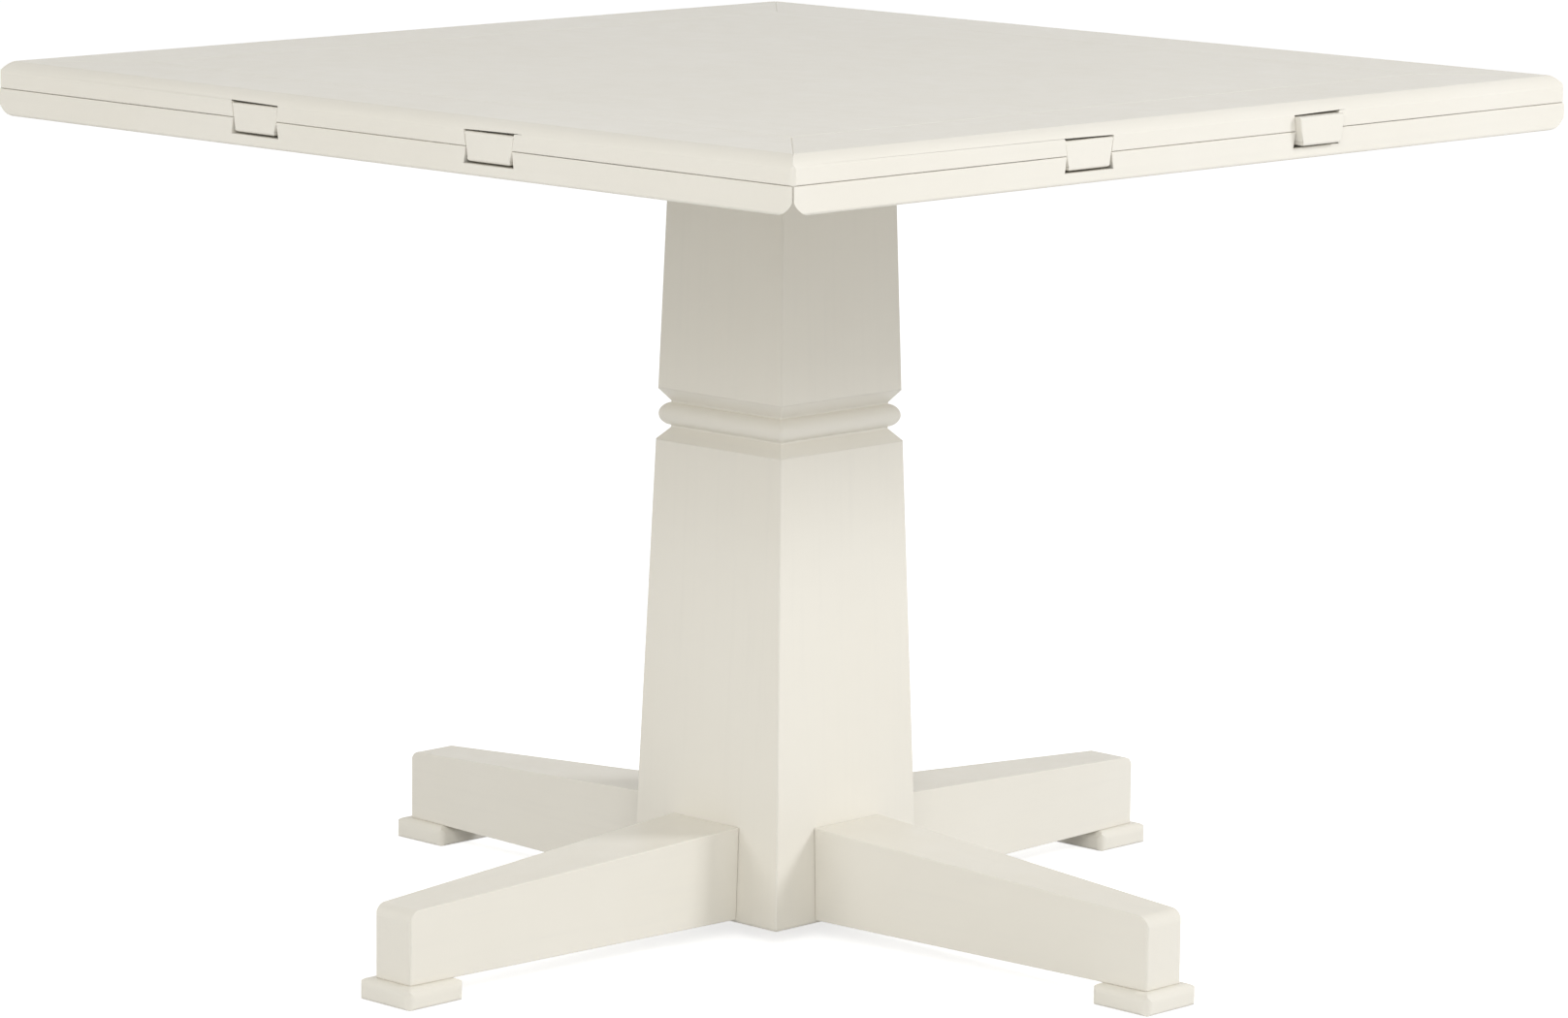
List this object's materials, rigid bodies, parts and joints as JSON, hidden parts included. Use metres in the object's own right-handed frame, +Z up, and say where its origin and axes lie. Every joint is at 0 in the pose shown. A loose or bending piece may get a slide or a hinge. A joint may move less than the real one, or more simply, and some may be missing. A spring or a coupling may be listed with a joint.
{
  "type": "drop leaf table",
  "caption": "Square painted pedestal table on a cross of tapered legs, with hinged half-moon leaves folded under the top that open out on pull-out slides to make it round.",
  "frame": {"origin": "on the floor at the middle of the pedestal", "axes": "+Z up, the front side faces -Y, the right side faces +X"},
  "size_m": [0.9775, 0.971, 0.762],
  "materials": {
    "painted_top": "warm white satin paint",
    "painted_wood": "warm white satin paint",
    "painted_under": "warm white satin paint, thinner on the underside",
    "birch": "bare wood",
    "steel": "zinc plated",
    "zinc": "die cast zinc",
    "brass": "plain"
  },
  "bodies": {
    "table": {"top_panel": "painted_top", "top_rail_front": "painted_top", "top_rail_right": "painted_top", "top_rail_back": "painted_top", "top_rail_left": "painted_top", "head_plate": "painted_under", "head_screws": "steel", "upper_column": "painted_wood", "column_collar": "painted_wood", "lower_column": "painted_wood", "foot_plug": "birch", "tie_rod": "steel", "tie_rod_nuts": "steel", "tie_rod_washers": "steel", "leg_front": "painted_wood", "leg_right": "painted_wood", "leg_back": "painted_wood", "leg_left": "painted_wood", "leg_bolts": "steel", "leg_bolt_washers": "steel", "pad_front": "painted_wood", "pad_right": "painted_wood", "pad_back": "painted_wood", "pad_left": "painted_wood", "pad_screws": "steel", "slide_stop_pins": "steel", "top_magnets": "steel", "top_hinge_cups": "zinc", "top_hinge_screws": "steel"},
    "leaf_front_body": {"leaf_front": "painted_wood", "leaf_strikes_front": "steel", "leaf_hinge_cups_front": "zinc", "leaf_hinge_screws_front": "steel"},
    "hinge_links_front_body": {"hinge_links_front": "brass"},
    "slide_front_a_body": {"slide_front_a": "painted_wood"},
    "slide_front_b_body": {"slide_front_b": "painted_wood"},
    "leaf_right_body": {"leaf_right": "painted_wood", "leaf_strikes_right": "steel", "leaf_hinge_cups_right": "zinc", "leaf_hinge_screws_right": "steel"},
    "hinge_links_right_body": {"hinge_links_right": "brass"},
    "slide_right_a_body": {"slide_right_a": "painted_wood"},
    "slide_right_b_body": {"slide_right_b": "painted_wood"},
    "leaf_back_body": {"leaf_back": "painted_wood", "leaf_strikes_back": "steel", "leaf_hinge_cups_back": "zinc", "leaf_hinge_screws_back": "steel"},
    "hinge_links_back_body": {"hinge_links_back": "brass"},
    "slide_back_a_body": {"slide_back_a": "painted_wood"},
    "slide_back_b_body": {"slide_back_b": "painted_wood"},
    "leaf_left_body": {"leaf_left": "painted_wood", "leaf_strikes_left": "steel", "leaf_hinge_cups_left": "zinc", "leaf_hinge_screws_left": "steel"},
    "hinge_links_left_body": {"hinge_links_left": "brass"},
    "slide_left_a_body": {"slide_left_a": "painted_wood"},
    "slide_left_b_body": {"slide_left_b": "painted_wood"}
  },
  "joints": [
    {"name": "leaf_front_hinge", "type": "hinge", "parent": "table", "child": "leaf_front_body", "pos_m": [0, -0.48565, 0.7383], "axis": [-1, 0, 0], "range_deg": [0, 180]},
    {"name": "hinge_links_front_turn", "type": "hinge", "parent": "table", "child": "hinge_links_front_body", "pos_m": [0, -0.48565, 0.7383], "axis": [-1, 0, 0], "range_deg": [0, 90]},
    {"name": "slide_front_a_pull", "type": "slide", "parent": "table", "child": "slide_front_a_body", "axis": [0, -1, 0], "range_m": [0, 0.07]},
    {"name": "slide_front_b_pull", "type": "slide", "parent": "table", "child": "slide_front_b_body", "axis": [0, -1, 0], "range_m": [0, 0.07]},
    {"name": "leaf_right_hinge", "type": "hinge", "parent": "table", "child": "leaf_right_body", "pos_m": [0.48565, 0, 0.7383], "axis": [0, -1, 0], "range_deg": [0, 180]},
    {"name": "hinge_links_right_turn", "type": "hinge", "parent": "table", "child": "hinge_links_right_body", "pos_m": [0.48565, 0, 0.7383], "axis": [0, -1, 0], "range_deg": [0, 90]},
    {"name": "slide_right_a_pull", "type": "slide", "parent": "table", "child": "slide_right_a_body", "axis": [1, 0, 0], "range_m": [0, 0.07]},
    {"name": "slide_right_b_pull", "type": "slide", "parent": "table", "child": "slide_right_b_body", "axis": [1, 0, 0], "range_m": [-0.0065, 0.0635]},
    {"name": "leaf_back_hinge", "type": "hinge", "parent": "table", "child": "leaf_back_body", "pos_m": [0, 0.48565, 0.7383], "axis": [1, 0, 0], "range_deg": [0, 180]},
    {"name": "hinge_links_back_turn", "type": "hinge", "parent": "table", "child": "hinge_links_back_body", "pos_m": [0, 0.48565, 0.7383], "axis": [1, 0, 0], "range_deg": [0, 90]},
    {"name": "slide_back_a_pull", "type": "slide", "parent": "table", "child": "slide_back_a_body", "axis": [0, 1, 0], "range_m": [0, 0.07]},
    {"name": "slide_back_b_pull", "type": "slide", "parent": "table", "child": "slide_back_b_body", "axis": [0, 1, 0], "range_m": [0, 0.07]},
    {"name": "leaf_left_hinge", "type": "hinge", "parent": "table", "child": "leaf_left_body", "pos_m": [-0.48565, 0, 0.7383], "axis": [0, 1, 0], "range_deg": [0, 180]},
    {"name": "hinge_links_left_turn", "type": "hinge", "parent": "table", "child": "hinge_links_left_body", "pos_m": [-0.48565, 0, 0.7383], "axis": [0, 1, 0], "range_deg": [0, 90]},
    {"name": "slide_left_a_pull", "type": "slide", "parent": "table", "child": "slide_left_a_body", "axis": [-1, 0, 0], "range_m": [0, 0.07]},
    {"name": "slide_left_b_pull", "type": "slide", "parent": "table", "child": "slide_left_b_body", "axis": [-1, 0, 0], "range_m": [0, 0.07]}
  ],
  "couplings": [
    {"joint": "hinge_links_front_turn", "follows": "leaf_front_hinge", "ratio": 0.5},
    {"joint": "hinge_links_right_turn", "follows": "leaf_right_hinge", "ratio": 0.5},
    {"joint": "hinge_links_back_turn", "follows": "leaf_back_hinge", "ratio": 0.5},
    {"joint": "hinge_links_left_turn", "follows": "leaf_left_hinge", "ratio": 0.5}
  ]
}
